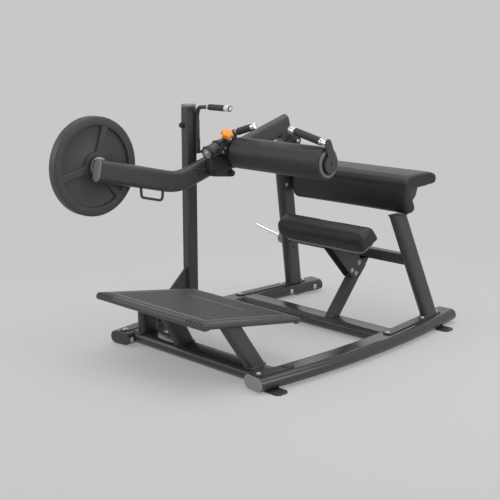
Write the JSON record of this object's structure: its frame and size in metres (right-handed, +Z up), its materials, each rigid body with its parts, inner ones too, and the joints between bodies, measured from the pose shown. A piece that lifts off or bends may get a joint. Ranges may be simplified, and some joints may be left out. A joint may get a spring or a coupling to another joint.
{
  "type": "glute machine",
  "caption": "Plate-loaded hip thrust machine: bowed base, foot platform, seat and back pads, and a pivoting lever with a padded hip roller.",
  "frame": {"origin": "on the floor, under the middle of the machine's box", "axes": "+Z up, +Y from the foot platform to the back pad, +X towards the user's left"},
  "size_m": [1.1991, 1.7473, 1.1013],
  "materials": {
    "coat": "fine matt powder coat",
    "grey_cap": "matt",
    "steel": "satin",
    "chrome": "polished",
    "grip_rubber": "matt",
    "moulded_plastic": "matt",
    "orange_plastic": "satin",
    "plate_iron": "painted, matt",
    "vinyl": "grained vinyl"
  },
  "bodies": {
    "frame": {"rail_left": "coat", "rail_right": "coat", "rail_cap_left_front": "grey_cap", "rail_cap_left_rear": "grey_cap", "rail_cap_right_front": "grey_cap", "rail_cap_right_rear": "grey_cap", "foot_left_front": "coat", "foot_left_rear": "coat", "foot_right_front": "coat", "foot_right_rear": "coat", "front_cross_tube": "coat", "middle_cross_tube": "coat", "upright_left": "coat", "upright_right": "coat", "rear_cross_bar": "coat", "pivot_housing": "coat", "pivot_axle": "steel", "tall_post": "coat", "post_cap": "grey_cap", "release_barrel": "coat", "platform": "coat", "platform_leg_left": "coat", "platform_leg_middle": "coat", "platform_leg_right": "coat", "seat_post": "coat", "seat_bracket": "coat", "seat_board": "moulded_plastic", "seat_pad": "vinyl", "back_pad": "vinyl", "back_board": "moulded_plastic", "back_bracket_left": "coat", "back_bracket_right": "coat", "storage_flange": "grip_rubber", "storage_horn": "chrome"},
    "lever": {"lever_arm": "coat", "lever_front_cap": "grey_cap", "loop_handle": "coat", "plate_horn": "steel", "pivot_bearing_outer": "steel", "pivot_bearing_inner": "steel", "hub_bracket": "coat", "hub_spindle": "steel", "rest_lug": "coat"},
    "carriage": {"carriage_hub": "coat", "roller_shaft": "chrome", "hook_plate": "coat", "handle_bar_left": "chrome", "handle_bar_right": "chrome", "handle_grip_left": "grip_rubber", "handle_grip_right": "grip_rubber"},
    "roller": {"roller_foam": "vinyl", "roller_bush_left": "moulded_plastic", "roller_bush_right": "moulded_plastic"},
    "pin": {"pop_pin": "steel", "pop_knob": "orange_plastic"},
    "release": {"release_rod": "coat", "release_grip": "grip_rubber", "catch_bumper": "grip_rubber", "catch_arm": "coat"},
    "weight": {"weight_plate": "plate_iron"}
  },
  "joints": [
    {"name": "lever_pivot", "type": "hinge", "parent": "frame", "child": "lever", "pos_m": [-0.31461, 0.55087, 0.872], "axis": [-1, 0, 0], "range_deg": [0, 15]},
    {"name": "carriage_swing", "type": "hinge", "parent": "lever", "child": "carriage", "pos_m": [-0.24961, -0.08113, 0.872], "axis": [0, -0.959, -0.2833], "range_deg": [0, 75]},
    {"name": "roller_spin", "type": "hinge", "parent": "carriage", "child": "roller", "pos_m": [0, 0.06087, 0.864], "axis": [1, 0, 0], "continuous": true},
    {"name": "pin_pull", "type": "slide", "parent": "carriage", "child": "pin", "axis": [0.6018, -0.2262, 0.7659], "range_m": [0, 0.01], "stiffness_N_per_m": 400, "springref_m": -0.004},
    {"name": "release_turn", "type": "hinge", "parent": "frame", "child": "release", "pos_m": [-0.36331, -0.04713, 0.868], "axis": [0, 0, 1], "range_deg": [0, 16], "stiffness_Nm_per_rad": 0.5, "springref_deg": -11.46},
    {"name": "plate_slide", "type": "slide", "parent": "lever", "child": "weight", "axis": [-1, 0, 0], "range_m": [0, 0.105]}
  ]
}
